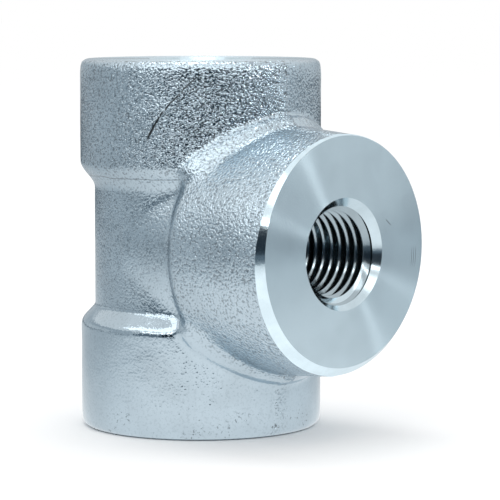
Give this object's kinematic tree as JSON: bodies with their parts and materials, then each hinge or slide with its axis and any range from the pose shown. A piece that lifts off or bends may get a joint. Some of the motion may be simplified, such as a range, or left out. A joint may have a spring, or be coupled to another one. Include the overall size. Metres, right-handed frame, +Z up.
{
  "type": "threaded tee",
  "caption": "Forged steel pipe tee with female taper threads: straight vertical run with a collar at each end and a collared branch at right angles.",
  "frame": {"origin": "centre of the lower run face, which the tee stands on", "axes": "+Z up along the run, +X along the branch and out of its port"},
  "size_m": [0.043, 0.033, 0.05],
  "materials": {
    "forged_steel": "blasted forging with turned ends"
  },
  "bodies": {
    "root": {"forged_tee": "forged_steel"}
  },
  "joints": []
}
